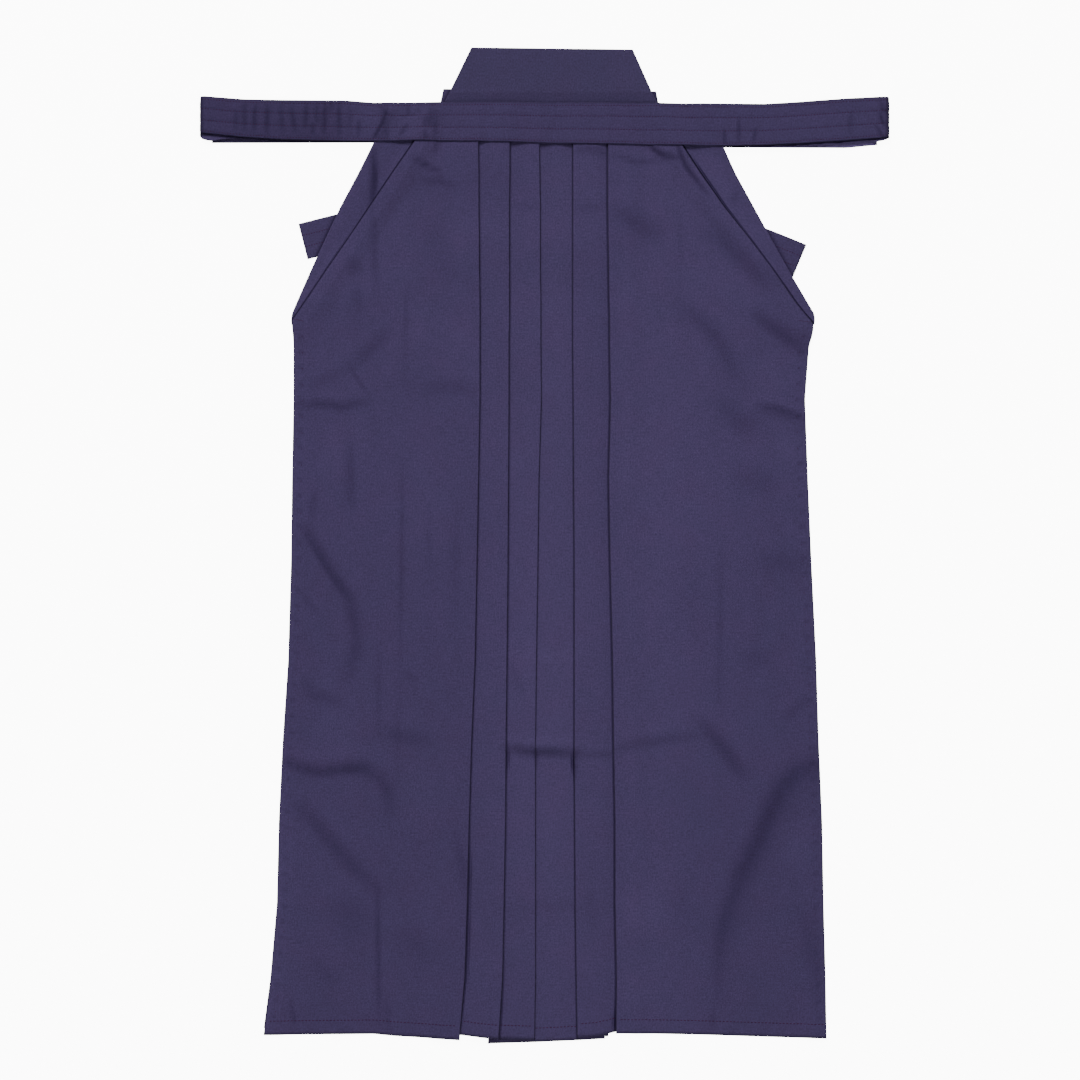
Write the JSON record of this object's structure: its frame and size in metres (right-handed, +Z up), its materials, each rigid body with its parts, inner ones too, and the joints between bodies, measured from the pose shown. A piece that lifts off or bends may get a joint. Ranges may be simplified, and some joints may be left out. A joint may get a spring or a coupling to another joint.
{
  "type": "hakama trousers",
  "caption": "Pleated wide-leg trousers of plain navy cotton laid flat, front up, with a stiff back board and a front waistband whose long ties are folded under.",
  "frame": {"origin": "middle of the laid garment's outline, on the surface it lies on", "axes": "+X to the wearer's left (the picture's right), +Y from the hem up to the back board, +Z up out of the front cloth"},
  "size_m": [0.7024, 1.0152, 0.0139],
  "materials": {
    "cotton_cloth": "matt plain-woven cotton, soft slubs, navy with a purple tinge",
    "cotton_band": "the same cotton folded double, stitched in rows, a little darker",
    "board_cover": "the same cotton stretched smooth over a stiff board",
    "sewing_thread": "dull dark plum sewing thread"
  },
  "bodies": {
    "root": {"front_right_leg": "cotton_cloth", "front_left_leg": "cotton_cloth", "back_right_leg": "cotton_cloth", "back_left_leg": "cotton_cloth", "gusset": "cotton_cloth", "side_fold_right": "cotton_cloth", "side_fold_left": "cotton_cloth", "front_band": "cotton_band", "front_tie_right": "cotton_band", "front_tie_left": "cotton_band", "back_tie_right": "cotton_band", "back_tie_left": "cotton_band", "back_waistband": "cotton_band", "back_board": "board_cover"}
  },
  "joints": []
}
